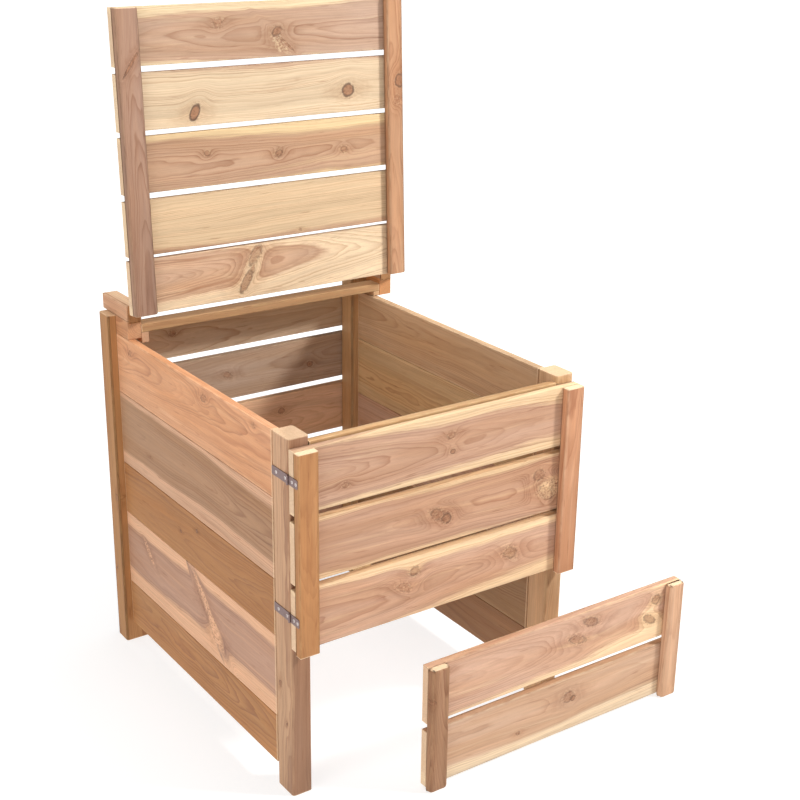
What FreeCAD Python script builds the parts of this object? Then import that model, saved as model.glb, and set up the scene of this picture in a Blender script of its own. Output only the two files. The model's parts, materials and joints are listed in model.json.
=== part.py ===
import FreeCAD, Part
import math
import os

# Compost bin with a lid, a front door and a lift-off lower panel, all of cedar boards.
# X runs to the right seen from the front, Y runs to the back, Z up, in millimetres.
# Everything is drawn round the middle of the bin's footprint, on the ground, and is
# saved round the middle of the front left post's foot, which is the part's origin.
# The lid stands open, the door is shut and the lower panel stands on the ground in front.

V = FreeCAD.Vector

# Overall sizes of the bin
bin_width = 744.0
bin_depth = 885.0
wall_top = 838.0
wall_bottom = 53.0

# Sawn timber sections
board_thickness = 19.0
wide_board = 140.0
batten_width = 48.0
batten_thickness = 19.0
board_arris = 2.5
batten_arris = 6.0
post_arris = 7.0
end_ease = 1.2

# Corner posts
front_post_width = 50.0
front_post_depth = 66.0
rear_post_width = 72.0
rear_post_depth = 53.0
rear_post_proud = 20.0

# Side walls, both with their boards flush with the posts' left faces.
# Board heights from the top board down.
left_board_heights = [148.0, 187.0, 134.0, 197.0, 119.0]
right_board_heights = [133.0, 156.0, 183.0, 196.0, 117.0]
tongue_length = 6.0
tongue_thickness = 6.0
tongue_clearance = 0.2
joint_gap = 0.3

# Rear wall: height of each board and the air gap under it, from the top down
rear_board_heights = [108.0, 124.0, 133.0, 134.0, 122.0, 69.0]
rear_board_gap = 19.0
rear_board_inset = 10.0

# Hinge blocks, beams and the rail between them, at the top of the rear corners
block_width = 36.0
block_height = 46.0
beam_width = 38.0
beam_height = 38.0
rail_depth = 45.0
rail_drop = 14.0
cleat_width = 19.0
cleat_height = 26.0
right_block_outset = 8.0
front_rail_height = 45.0
front_rail_drop = 15.0

# Lid
lid_left_inset = 6.0
lid_right_overhang = 28.0
lid_board_width = 130.0
lid_board_gaps = [14.0, 12.5, 15.0, 9.5]
lid_left_batten_width = 57.0
lid_right_batten_width = 46.0
lid_rest_clearance = 1.0
lid_lean_deg = 2.6
lid_edge_setback = 21.0

# Door and lower panel
door_board_gaps = [16.0, 14.0]
door_top_drop = 20.0
door_clearance = 1.0
batten_overhang = 8.0
panel_board_gap = 20.0
panel_stands_at_x = 253.0
panel_stands_at_y = -120.0

# Lid hinges
lid_leaf_thickness = 1.2
lid_knuckle_radius = 1.85
lid_pin_radius = 0.9
lid_hinge_length = 30.0
lid_leaf_reach = 44.0
beam_leaf_reach = 34.0

# Door hinges
door_leaf_thickness = 1.5
door_knuckle_radius = 2.6
door_pin_radius = 1.2
door_hinge_length = 20.0
door_post_leaf_reach = 64.0
door_door_leaf_reach = 36.0
upper_hinge_below_door_top = 65.0
lower_hinge_above_door_bottom = 82.0
pin_clearance = 0.05
knuckle_gap = 0.3
knuckle_clearance = 0.3

# Positions that follow from the sizes
lid_pivot_height = lid_knuckle_radius + knuckle_clearance
door_pivot_height = door_knuckle_radius + knuckle_clearance
half_width = bin_width / 2
front_face = -bin_depth / 2
rear_face = bin_depth / 2
foot_x = -half_width + front_post_width / 2
foot_y = front_face + front_post_depth / 2
panel_shift = bin_width - front_post_width
front_post_back = front_face + front_post_depth
rear_post_back = rear_face - board_thickness
rear_post_front = rear_post_back - rear_post_depth
block_top = wall_top + block_height
block_front = rear_post_front - 66.0
left_block_outer = -half_width
right_block_outer = -half_width + panel_shift - rear_post_proud + rear_post_width + right_block_outset
lid_thickness = board_thickness + batten_thickness
lid_closed_top = wall_top + lid_rest_clearance + lid_thickness
lid_axis_y = block_front - lid_pivot_height
lid_axis_z = lid_closed_top + lid_pivot_height
lid_rear_edge = lid_axis_y - lid_edge_setback
door_back = front_face - door_clearance
door_axis_x = -half_width - door_pivot_height
door_axis_y = front_face - door_clearance / 2


def rounded_section(width, height, radius):
    """Face in the plane of the first two axes, centred, with quarter-round corners."""
    w = width / 2
    h = height / 2
    r = radius
    s = r * math.sqrt(0.5)
    corners = [(w - r, h - r, 1, 1), (-w + r, h - r, -1, 1),
               (-w + r, -h + r, -1, -1), (w - r, -h + r, 1, -1)]
    starts = []
    arcs = []
    for cx, cy, sx, sy in corners:
        along_x = V(cx + sx * r, cy, 0)
        along_y = V(cx, cy + sy * r, 0)
        middle = V(cx + sx * s, cy + sy * s, 0)
        first, last = (along_x, along_y) if sx == sy else (along_y, along_x)
        arcs.append(Part.Arc(first, middle, last).toShape())
        starts.append((first, last))
    edges = []
    for i in range(4):
        edges.append(arcs[i])
        edges.append(Part.LineSegment(starts[i][1], starts[(i + 1) % 4][0]).toShape())
    return Part.Face(Part.Wire(edges))


def flat_section(width, height, arris):
    """Face like the rounded one, with each corner planed off flat."""
    w = width / 2
    h = height / 2
    a = arris
    outline = [V(w, h - a, 0), V(w - a, h, 0), V(a - w, h, 0), V(-w, h - a, 0),
               V(-w, a - h, 0), V(a - w, -h, 0), V(w - a, -h, 0), V(w, a - h, 0)]
    return Part.Face(Part.makePolygon(outline + [outline[0]]))


def timber(x0, x1, y0, y1, z0, z1, grain, arris, ease=0):
    """Bar of timber between two corners, its arrises planed off along the grain and its ends eased."""
    sizes = {"X": (y1 - y0, z1 - z0, x1 - x0), "Y": (x1 - x0, z1 - z0, y1 - y0),
             "Z": (x1 - x0, y1 - y0, z1 - z0)}
    width, height, length = sizes[grain]
    if arris > board_arris:
        bar = rounded_section(width, height, arris).extrude(V(0, 0, length))
    else:
        bar = flat_section(width, height, arris * 0.6).extrude(V(0, 0, length))
    if ease > 0:
        ends = []
        for edge in bar.Edges:
            box = edge.BoundBox
            if box.ZMax < 1e-6 or box.ZMin > length - 1e-6:
                ends.append(edge)
        bar = bar.makeChamfer(ease, ends)
    bar.translate(V(0, 0, -length / 2))
    if grain == "X":
        bar.rotate(V(0, 0, 0), V(1, 1, 1), 120)
    if grain == "Y":
        bar.rotate(V(0, 0, 0), V(1, 0, 0), -90)
    bar.translate(V((x0 + x1) / 2, (y0 + y1) / 2, (z0 + z1) / 2))
    return bar


def wall_board(outer_x, inward, y0, y1, z0, z1, has_tongue, has_groove):
    """Side board: a tongue on its upper edge and a groove under its lower edge."""
    t = board_thickness
    a = board_arris / 2
    middle = t / 2
    half_tongue = tongue_thickness / 2
    half_groove = half_tongue + tongue_clearance
    top = z1 if not has_tongue else z1 - joint_gap
    outline = [(0, z0 + a), (0, top - a), (a, top)]
    if has_tongue:
        outline += [(middle - half_tongue, top), (middle - half_tongue + 1, top + tongue_length),
                    (middle + half_tongue - 1, top + tongue_length), (middle + half_tongue, top)]
    outline += [(t - a, top), (t, top - a), (t, z0 + a), (t - a, z0)]
    if has_groove:
        depth = tongue_length + 1
        outline += [(middle + half_groove, z0), (middle + half_groove - 1, z0 + depth),
                    (middle - half_groove + 1, z0 + depth), (middle - half_groove, z0)]
    outline += [(a, z0)]
    points = [V(outer_x + inward * px, y0, pz) for px, pz in outline]
    face = Part.Face(Part.makePolygon(points + [points[0]]))
    return face.extrude(V(0, y1 - y0, 0))


def hinge_leaf(length, reach, thickness, radius, pivot_height, pin_radius, owned, count):
    """Leaf that lies on the plane z = -pivot_height and runs to -Y, its knuckles round the X axis."""
    step = length / count
    plate = Part.makeBox(length, reach, thickness, V(-length / 2, -reach, -pivot_height))
    corner_edges = [e for e in plate.Edges
                    if abs(e.BoundBox.YMin + reach) < 1e-6 and e.BoundBox.ZLength > thickness * 0.5]
    plate = plate.makeFillet(min(length, 12) / 4, corner_edges)
    slot = radius + 0.35
    shape = plate
    for i in range(count):
        x0 = -length / 2 + i * step
        if i in owned:
            barrel = Part.makeCylinder(radius, step - knuckle_gap, V(x0 + knuckle_gap / 2, 0, 0), V(1, 0, 0))
            shape = shape.fuse(barrel)
        else:
            cut = Part.makeBox(step + knuckle_gap, slot + 1, 4 * radius,
                               V(x0 - knuckle_gap / 2, -slot, -2 * radius))
            shape = shape.cut(cut)
    bore = Part.makeCylinder(pin_radius + pin_clearance, length + 2, V(-length / 2 - 1, 0, 0), V(1, 0, 0))
    shape = shape.cut(bore)
    return shape.removeSplitter()


def hinge_pin(length, pin_radius, knuckle_radius):
    """Pin with a small domed head at each end, lying along the X axis."""
    head = 0.8
    r = pin_radius
    h = length / 2 + 0.1
    big = knuckle_radius * 0.9
    profile = [V(-h - head, 0, 0), V(-h - head, big * 0.6, 0), V(-h - head * 0.4, big, 0), V(-h, big, 0),
               V(-h, r, 0), V(h, r, 0), V(h, big, 0), V(h + head * 0.4, big, 0),
               V(h + head, big * 0.6, 0), V(h + head, 0, 0)]
    face = Part.Face(Part.makePolygon(profile + [profile[0]]))
    return face.revolve(V(0, 0, 0), V(1, 0, 0), 360)


os.makedirs("parts", exist_ok=True)


def save(name, shape):
    """Writes one piece after checking that it is one closed solid."""
    solids = shape.Solids
    if len(solids) != 1 or not shape.isValid():
        raise ValueError(name + " is not one valid solid")
    solid = solids[0].copy()
    solid.translate(V(-foot_x, -foot_y, 0))
    solid.exportStep("parts/" + name + ".step")


# Side panels: two posts and five boards, the right one in the same hand as the left one
for side, shift, heights in (("left", 0.0, left_board_heights), ("right", panel_shift, right_board_heights)):
    flush = shift - half_width
    save("front_" + side + "_post",
         timber(flush, flush + front_post_width, front_face, front_post_back, 0, wall_top,
                "Z", post_arris, end_ease))
    rear_left = flush - rear_post_proud
    save("rear_" + side + "_post",
         timber(rear_left, rear_left + rear_post_width, rear_post_front, rear_post_back, 0, block_top,
                "Z", post_arris * 0.7, end_ease))
    upper = wall_top
    scale = (wall_top - wall_bottom) / sum(heights)
    for number, height in enumerate(heights, start=1):
        lower = upper - height * scale
        board = wall_board(flush, 1, front_post_back, rear_post_front, lower, upper,
                           number > 1, number < len(heights))
        save(side + "_side_board_" + str(number), board)
        upper = lower

# Rear wall: boards across the back of the rear posts, with air gaps
upper = wall_top
rear_gaps_total = rear_board_gap * (len(rear_board_heights) - 1)
rear_scale = (wall_top - wall_bottom - rear_gaps_total) / sum(rear_board_heights)
rear_board_left = -half_width - rear_post_proud + rear_board_inset
rear_board_right = right_block_outer - right_block_outset - rear_board_inset
for number, height in enumerate(rear_board_heights, start=1):
    lower = upper - height * rear_scale
    save("rear_board_" + str(number),
         timber(rear_board_left, rear_board_right, rear_post_back, rear_face, lower, upper,
                "X", board_arris))
    upper = lower - rear_board_gap

# Hinge blocks in front of the rear posts, and beams over them
for side, sign, outer in (("left", -1, left_block_outer), ("right", 1, right_block_outer)):
    inner = outer - sign * block_width
    save(side + "_hinge_block",
         timber(min(outer, inner), max(outer, inner), block_front, rear_post_front, wall_top, block_top,
                "Y", board_arris))
    inner = outer - sign * beam_width
    save(side + "_hinge_beam",
         timber(min(outer, inner), max(outer, inner), block_front, rear_face,
                block_top, block_top + beam_height, "Y", board_arris, end_ease))

# Cross rail between the hinge blocks, on a cleat screwed to the side of each block
rail_top = block_top - rail_drop
rail_bottom = rail_top - board_thickness
rail_left = left_block_outer + block_width
rail_right = right_block_outer - block_width
save("rear_cross_rail",
     timber(rail_left, rail_right, block_front, block_front + rail_depth,
            rail_bottom, rail_top, "X", board_arris))
for side, left, bottom in (("left", rail_left, rail_bottom - cleat_height),
                           ("right", rail_right - cleat_width, wall_top)):
    save(side + "_rail_cleat",
         timber(left, left + cleat_width, block_front, block_front + rail_depth,
                bottom, rail_bottom, "Y", board_arris))

# Front top rail between the front posts, behind the door
front_rail_top = wall_top - front_rail_drop
front_rail_half = half_width - front_post_width
save("front_top_rail",
     timber(-front_rail_half, front_rail_half, front_face, front_face + board_thickness,
            front_rail_top - front_rail_height, front_rail_top, "X", board_arris))


def open_lid(shape):
    """Turns a lid piece from the shut place to the open one, leaning back on its hinges."""
    opened = shape.copy()
    opened.rotate(V(0, lid_axis_y, lid_axis_z), V(1, 0, 0), -(90 + lid_lean_deg))
    return opened


# Lid: five boards and two battens underneath, made shut and then opened
lid_left = -half_width + lid_left_inset
lid_right = half_width + lid_right_overhang
board_low = lid_closed_top - board_thickness
batten_low = lid_closed_top - lid_thickness
lid_length = 5 * lid_board_width + sum(lid_board_gaps)
front = lid_rear_edge - lid_length
lid_front_edge = front
for number in range(1, 6):
    back = front + lid_board_width
    save("lid_board_" + str(number),
         open_lid(timber(lid_left, lid_right, front, back, board_low, lid_closed_top, "X", board_arris)))
    if number < 5:
        front = back + lid_board_gaps[number - 1]
save("lid_left_batten",
     open_lid(timber(lid_left, lid_left + lid_left_batten_width, lid_front_edge, lid_rear_edge,
                     batten_low, board_low, "Y", batten_arris, end_ease)))
save("lid_right_batten",
     open_lid(timber(lid_right - lid_right_batten_width, lid_right, lid_front_edge, lid_rear_edge,
                     batten_low, board_low, "Y", batten_arris, end_ease)))

# Lid hinges, on the front ends of the beams
for side, centre_x in (("left", left_block_outer + beam_width / 2),
                       ("right", right_block_outer - beam_width / 2)):
    centre = V(centre_x, lid_axis_y, lid_axis_z)
    fixed = hinge_leaf(lid_hinge_length, beam_leaf_reach, lid_leaf_thickness, lid_knuckle_radius,
                       lid_pivot_height, lid_pin_radius, (0, 2, 4), 5)
    fixed.rotate(V(0, 0, 0), V(0, 0, 1), 180)
    fixed.rotate(V(0, 0, 0), V(1, 0, 0), 90)
    fixed.translate(centre)
    save("lid_hinge_beam_leaf_" + side, fixed)
    moving = hinge_leaf(lid_hinge_length, lid_leaf_reach, lid_leaf_thickness, lid_knuckle_radius,
                        lid_pivot_height, lid_pin_radius, (1, 3), 5)
    moving.translate(centre)
    save("lid_hinge_lid_leaf_" + side, open_lid(moving))
    pin = hinge_pin(lid_hinge_length, lid_pin_radius, lid_knuckle_radius)
    pin.translate(centre)
    save("lid_hinge_pin_" + side, pin)

# Door: three boards with two battens outside them
door_top = wall_top - door_top_drop
top = door_top
for number in range(1, 4):
    bottom = top - wide_board
    save("door_board_" + str(number),
         timber(-half_width, half_width, door_back - board_thickness, door_back,
                bottom, top, "X", board_arris))
    if number < 3:
        top = bottom - door_board_gaps[number - 1]
door_bottom = bottom - batten_overhang
door_front = door_back - board_thickness
for side, sign in (("left", -1), ("right", 1)):
    outer = sign * half_width
    inner = outer - sign * batten_width
    save("door_" + side + "_batten",
         timber(min(outer, inner), max(outer, inner), door_front - batten_thickness, door_front,
                door_bottom, door_top, "Z", batten_arris, end_ease))

# Door hinges: straps on the left face of the post and on the left end of the door
door_hinge_levels = (("upper", door_top - upper_hinge_below_door_top),
                     ("lower", door_bottom + lower_hinge_above_door_bottom))
for level, height in door_hinge_levels:
    centre = V(door_axis_x, door_axis_y, height)
    post_leaf = hinge_leaf(door_hinge_length, door_post_leaf_reach, door_leaf_thickness, door_knuckle_radius,
                           door_pivot_height, door_pin_radius, (0, 2), 3)
    door_leaf = hinge_leaf(door_hinge_length, door_door_leaf_reach, door_leaf_thickness, door_knuckle_radius,
                           door_pivot_height, door_pin_radius, (1,), 3)
    pin = hinge_pin(door_hinge_length, door_pin_radius, door_knuckle_radius)
    for shape in (post_leaf, door_leaf, pin):
        shape.rotate(V(0, 0, 0), V(0, 1, 0), -90)
    post_leaf = post_leaf.mirror(V(0, 0, 0), V(0, 1, 0))
    for name, shape in (("post_leaf", post_leaf), ("door_leaf", door_leaf), ("pin", pin)):
        shape.translate(centre)
        save("door_hinge_" + name + "_" + level, shape)

# Lower panel: two boards and two battens, taken off and stood on the ground
panel_left = -half_width + panel_stands_at_x
panel_right = half_width + panel_stands_at_x
panel_back = front_face + panel_stands_at_y
panel_front = panel_back - board_thickness
panel_top = batten_overhang + 2 * wide_board + panel_board_gap
save("lower_board_1",
     timber(panel_left, panel_right, panel_front, panel_back,
            panel_top - wide_board, panel_top, "X", board_arris))
save("lower_board_2",
     timber(panel_left, panel_right, panel_front, panel_back, batten_overhang, batten_overhang + wide_board,
            "X", board_arris))
save("lower_left_batten",
     timber(panel_left, panel_left + batten_width, panel_front - batten_thickness, panel_front,
            0, panel_top, "Z", batten_arris, end_ease))
save("lower_right_batten",
     timber(panel_right - batten_width, panel_right, panel_front - batten_thickness, panel_front,
            0, panel_top, "Z", batten_arris, end_ease))

print("lid axis y", lid_axis_y, "z", lid_axis_z, "door axis x", door_axis_x, "y", door_axis_y)
print("lid front edge when shut", lid_front_edge, "door front", door_front)
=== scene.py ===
# %% [markdown]
# # A cedar compost bin: lid open, door shut, lower panel standing in front
# The real object is a box of planed cedar boards on four corner posts. The lid is hinged on
# two short beams at the back, the door swings on two small steel hinges at the left front
# post, and the lower panel lifts off for shovelling the compost out. Most measured pieces are
# swapped for planed timber of the same size, and the rest keep their shape. All of them get
# growth rings that run through the solid board, knots and sapwood edges, and then come the
# screws and a soft studio light.

# %% Start: the measured frame and the box that everything stays inside
import json
import math

import bmesh
import bpy
from mathutils import Matrix, Vector, noise

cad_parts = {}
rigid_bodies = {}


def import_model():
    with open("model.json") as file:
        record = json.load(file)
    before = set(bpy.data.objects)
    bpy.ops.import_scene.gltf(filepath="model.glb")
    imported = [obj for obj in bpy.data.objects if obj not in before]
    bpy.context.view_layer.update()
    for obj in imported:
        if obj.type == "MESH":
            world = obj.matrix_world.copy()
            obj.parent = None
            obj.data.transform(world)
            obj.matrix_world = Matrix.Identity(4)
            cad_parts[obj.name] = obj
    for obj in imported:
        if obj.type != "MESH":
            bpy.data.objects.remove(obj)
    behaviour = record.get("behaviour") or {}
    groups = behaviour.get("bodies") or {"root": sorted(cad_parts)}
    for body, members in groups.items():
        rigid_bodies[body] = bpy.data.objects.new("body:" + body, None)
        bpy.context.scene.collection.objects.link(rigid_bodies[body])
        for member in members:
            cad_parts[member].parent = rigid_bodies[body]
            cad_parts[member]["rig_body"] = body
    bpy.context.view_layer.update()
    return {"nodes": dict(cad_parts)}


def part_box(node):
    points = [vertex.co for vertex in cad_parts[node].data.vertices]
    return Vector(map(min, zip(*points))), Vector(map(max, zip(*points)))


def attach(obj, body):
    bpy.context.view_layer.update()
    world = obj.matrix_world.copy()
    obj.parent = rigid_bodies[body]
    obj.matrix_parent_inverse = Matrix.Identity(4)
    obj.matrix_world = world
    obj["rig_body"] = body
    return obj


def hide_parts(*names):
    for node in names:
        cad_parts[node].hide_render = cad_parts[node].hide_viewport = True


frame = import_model()
nodes = frame["nodes"]
MM = 0.001


# %% [markdown]
# ## Small tools for laying out a finish
# A wood finish is a long sum: distances, waves and mixes. Written out node by node it would
# fill pages, so a few short helpers each add a node or two, join them up and hand back the
# result. Every helper takes either a plain value or the output of an earlier node.

# %% Helpers that add shader nodes
def feed(tree, socket, value):
    """Joins an earlier result to a socket, or writes a plain value there."""
    if isinstance(value, bpy.types.NodeSocket):
        tree.links.new(value, socket)
    elif socket.type == "VECTOR":
        socket.default_value = value[:3]
    else:
        socket.default_value = value


def add_node(tree, kind, settings=None, sockets=None):
    """One node with its settings, its sockets fed by name or by place."""
    made = tree.nodes.new("ShaderNode" + kind)
    for key, value in (settings or {}).items():
        setattr(made, key, value)
    for key, value in (sockets or {}).items():
        feed(tree, made.inputs[key], value)
    return made


def reckon(tree, operation, *terms):
    """Arithmetic on numbers."""
    made = add_node(tree, "Math", {"operation": operation}, dict(enumerate(terms)))
    return made.outputs[0]


def plus(tree, first, second):
    """First and second added."""
    return reckon(tree, "ADD", first, second)


def less(tree, first, second):
    """First with second taken away."""
    return reckon(tree, "SUBTRACT", first, second)


def times(tree, first, second):
    """First multiplied by second."""
    return reckon(tree, "MULTIPLY", first, second)


def flip(tree, value):
    """Turns a value from 0 to 1 upside down."""
    return less(tree, 1.0, value)


def reckon_vector(tree, operation, *terms):
    """Arithmetic on points and colours."""
    made = add_node(tree, "VectorMath", {"operation": operation}, dict(enumerate(terms)))
    return made.outputs[0]


print("arithmetic helpers ready")

# %% [markdown]
# ## Small tools for patterns
# Nature's patterns come from smooth steps and cloudy noise. Noise takes its scale as waves per
# metre in each direction, which is easy to judge against the real board: 240 waves per metre
# across the grain makes a fibre about 4 mm wide.

# %% Helpers for patterns
def soften(tree, value, low, high):
    """0 below low, 1 above high, and a smooth rise between them."""
    made = add_node(tree, "MapRange", {"interpolation_type": "SMOOTHSTEP"},
                    {"Value": value, "From Min": low, "From Max": high})
    return made.outputs[0]


def mottle(tree, point, per_metre, detail=2.0, roughness=0.55):
    """Cloudy noise, stretched by its own number of waves per metre along, across and through."""
    spread = reckon_vector(tree, "MULTIPLY", point, per_metre)
    return add_node(tree, "TexNoise", None, {"Vector": spread, "Scale": 1.0, "Detail": detail,
                                             "Roughness": roughness})


def mottled(tree, point, per_metre, detail=2.0, roughness=0.55):
    """The same cloudy noise as one number from 0 to 1."""
    return mottle(tree, point, per_metre, detail, roughness).outputs["Fac"]


def split(tree, value):
    """The three numbers of a point or of a coloured noise."""
    return add_node(tree, "SeparateXYZ", None, {0: value}).outputs


def join(tree, first, second, third):
    """Three numbers made one point."""
    return add_node(tree, "CombineXYZ", None, {0: first, 1: second, 2: third}).outputs[0]


def swing(tree, value, size):
    """Turns a 0 to 1 wave into one that swings by size round nought."""
    return times(tree, less(tree, value, 0.5), size)


print("pattern helpers ready")

# %% [markdown]
# ## Small tools for colours
# Stain, late wood and grime all darken what lies under them, so most marks multiply the colour
# rather than cover it. Colours are written as the eye reads them and turned into light here.

# %% Helpers for colours and node groups
def stir(tree, amount, first, second, mode="MIX"):
    """Mixes two colours."""
    made = add_node(tree, "Mix", {"data_type": "RGBA", "blend_type": mode, "clamp_factor": True},
                    {0: amount, 6: first, 7: second})
    return made.outputs[2]


def shade(tree, colour, amount, tone):
    """Multiplies a colour by a tone, as far as amount says."""
    return stir(tree, amount, colour, tone, "MULTIPLY")


def brighten(tree, colour, factor):
    """Makes a colour lighter or darker by a plain factor."""
    made = add_node(tree, "VectorMath", {"operation": "SCALE"}, {0: colour, "Scale": factor})
    return made.outputs[0]


def tint(red, green, blue):
    """A colour as the eye reads it, from 0 to 255, turned into light for the shader."""
    linear = [((c / 255 + 0.055) / 1.055) ** 2.4 for c in (red, green, blue)]
    return (*linear, 1.0)


def start_group(name, wants, gives):
    """An empty node group with its sockets."""
    group = bpy.data.node_groups.new(name, "ShaderNodeTree")
    for side, sockets in (("INPUT", wants), ("OUTPUT", gives)):
        for socket, kind in sockets.items():
            group.interface.new_socket(socket, in_out=side, socket_type="NodeSocket" + kind)
    ways_in = group.nodes.new("NodeGroupInput").outputs
    ways_out = group.nodes.new("NodeGroupOutput").inputs
    return group, ways_in, ways_out


print("colour helpers ready, cream looks like", [round(c, 3) for c in tint(240, 208, 168)])

# %% [markdown]
# ## A knot
# A knot is the stub of a branch that grew out from the heart, so on a board's face it is an
# uneven oval of dark end grain with a broken bark line round it, and the grain of the board
# parts and flows round it. It could be painted on, but it has to push the rings aside too. So
# a node group takes a point and measures how far it is from the knot, counted in the knot's
# own radii, so that one set of numbers serves a pin knot and a big one. Noise makes the
# distance ragged, more so for a loose knot. A second distance is drawn out along the board,
# for the stain that follows the grain away from the knot.
# Firm is 1 for a tight dark knot in sapwood, near 0 for a blurred one in heartwood, and below
# nought where only the pale swirl beside a knot shows. Stretch is its length over its width.

# %% Knot: settings and distances
knot_group, k_in, k_out = start_group(
    "knot",
    {"Point": "Vector", "Along": "Float", "Across": "Float", "Radius": "Float", "Firm": "Float",
     "Lean": "Float", "Stretch": "Float"},
    {"Push": "Float", "Spread": "Float", "Core": "Float", "Bark": "Float", "Halo": "Float",
     "Blotch": "Float", "Glow": "Float"})
KNOT_NOISE = (62, 78, 30)
SPOT_NOISE = (150, 210, 60)
HALO_SQUEEZE = 0.13


def measure_knot(tree):
    """Off to the side, round distance squared, ragged distance, drawn-out distance, and noise."""
    place = split(tree, k_in["Point"])
    off_along = less(tree, place[0], k_in["Along"])
    off_across = less(tree, place[1], k_in["Across"])
    noises = split(tree, mottle(tree, k_in["Point"], KNOT_NOISE, 3.0, 0.62).outputs["Color"])
    leaning = reckon(tree, "MULTIPLY_ADD", off_across, k_in["Lean"], off_along)
    along = reckon(tree, "DIVIDE", leaning, times(tree, k_in["Radius"], k_in["Stretch"]))
    across = reckon(tree, "DIVIDE", off_across, k_in["Radius"])
    along_2 = times(tree, along, along)
    across_2 = times(tree, across, across)
    round_2 = plus(tree, along_2, across_2)
    ragged = reckon(tree, "MULTIPLY_ADD", k_in["Firm"], -0.85, 1.2)
    away = plus(tree, reckon(tree, "SQRT", round_2), swing(tree, noises[0], ragged))
    long_2 = plus(tree, times(tree, along_2, HALO_SQUEEZE), across_2)
    long_away = plus(tree, reckon(tree, "SQRT", long_2), swing(tree, noises[1], 1.7))
    return off_across, round_2, away, long_away, noises[2]


print("knot settings:", ", ".join(socket.name for socket in k_in if socket.name))

# %% [markdown]
# ## What a knot does to the wood round it
# From those distances follow the push on the rings, strongest at the knot and fading off like
# a bell, and the marks: a dark core inside one radius, a thin bark line just outside it that
# noise breaks up, blotches and pale flecks out to two radii, and a stained halo.

# %% Knot: push and marks
def mark_knot(tree):
    """Feeds every output of the knot group."""
    off_across, round_2, away, long_away, crumbs = measure_knot(tree)
    bell = reckon(tree, "EXPONENT", times(tree, round_2, -0.16))
    shove = times(tree, k_in["Radius"], reckon(tree, "MINIMUM", k_in["Stretch"], 1.0))
    feed(tree, k_out["Push"], times(tree, times(tree, shove, 1.25), bell))
    feed(tree, k_out["Spread"], times(tree, times(tree, off_across, 0.62), bell))

    firmness = reckon(tree, "MULTIPLY_ADD", k_in["Firm"], 0.72, 0.28)
    core = flip(tree, soften(tree, away, 0.72, 1.06))
    feed(tree, k_out["Core"], times(tree, core, firmness))
    line = times(tree, soften(tree, away, 0.66, 0.92), flip(tree, soften(tree, away, 0.98, 1.22)))
    broken = soften(tree, reckon(tree, "MULTIPLY_ADD", k_in["Firm"], 0.16, crumbs), 0.42, 0.58)
    feed(tree, k_out["Bark"], times(tree, times(tree, line, broken), firmness))

    near = flip(tree, soften(tree, away, 0.9, 2.1))
    spots = split(tree, mottle(tree, k_in["Point"], SPOT_NOISE, 2.0, 0.6).outputs["Color"])
    feed(tree, k_out["Blotch"], times(tree, near, soften(tree, spots[0], 0.50, 0.64)))
    swirl = soften(tree, k_in["Firm"], 0.0, -0.4)
    pale = soften(tree, reckon(tree, "MULTIPLY_ADD", swirl, 0.15, spots[1]), 0.46, 0.70)
    pale = times(tree, pale, reckon(tree, "MULTIPLY_ADD", swirl, 0.60, 0.40))
    feed(tree, k_out["Glow"], times(tree, near, pale))
    feed(tree, k_out["Halo"], flip(tree, soften(tree, long_away, 0.5, 2.4)))


mark_knot(knot_group)
print("knot group:", len(knot_group.nodes), "nodes")

# %% [markdown]
# ## Cedar as solid wood
# A picture of grain wrapped round a board gives itself away at the edges, where real rings
# carry on round the corner. So this finish is solid: it thinks of the tree's pith as a line
# beside the board, measures every point's distance from that line, and reads the rings off
# that distance. Sawn this way the same group gives long cathedral arches in a board cut near
# the heart, straight fine lines in one cut further out, and arcs on the end grain. A slow
# noise makes the pith wander and a quicker one makes the rings shiver, and each board shifts
# the noise by its own seed, so that no two boards share a pattern.

# %% Cedar: settings and distance from the pith
cedar_group, c_in, c_out = start_group(
    "cedar",
    {"Point": "Vector", "Seed": "Float", "Pith across": "Float", "Pith depth": "Float",
     "Drift": "Float", "Heart reach": "Float", "Push": "Float", "Spread": "Float",
     "Core": "Float", "Bark": "Float", "Halo": "Float", "Blotch": "Float", "Glow": "Float",
     "Heart": "Color", "Sap": "Color", "Streaks": "Float", "Half length": "Float",
     "Half width": "Float", "Half thick": "Float", "End light": "Float"},
    {"Colour": "Color", "Roughness": "Float", "Relief": "Float"})
SEED_SHIFT = (1.37, 0.71, 0.53)
WANDER_ACROSS, WANDER_DEPTH, SHIVER = 0.050, 0.034, 0.0065


def lay_out_rings(tree):
    """Distance from the wavering pith line, and the points that fibres and rings are read at."""
    place = split(tree, c_in["Point"])
    shift = join(tree, *[times(tree, c_in["Seed"], step) for step in SEED_SHIFT])
    own = reckon_vector(tree, "ADD", c_in["Point"], shift)
    sway = split(tree, mottle(tree, own, (1.7, 7, 7), 2.0, 0.5).outputs["Color"])
    across = less(tree, less(tree, place[1], c_in["Pith across"]), c_in["Spread"])
    across = plus(tree, across, swing(tree, sway[0], WANDER_ACROSS))
    depth = plus(tree, less(tree, place[2], c_in["Pith depth"]),
                 times(tree, place[0], c_in["Drift"]))
    depth = plus(tree, depth, swing(tree, sway[1], WANDER_DEPTH))
    radius = reckon(tree, "SQRT", plus(tree, times(tree, across, across),
                                       times(tree, depth, depth)))
    shiver = mottled(tree, own, (10, 34, 34), 2.0, 0.5)
    radius = plus(tree, plus(tree, radius, c_in["Push"]), swing(tree, shiver, SHIVER))
    fibre_point = join(tree, plus(tree, place[0], c_in["Seed"]), across, depth)
    return place, own, sway, radius, fibre_point


print("cedar settings:", len(c_in) - 1)

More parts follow.
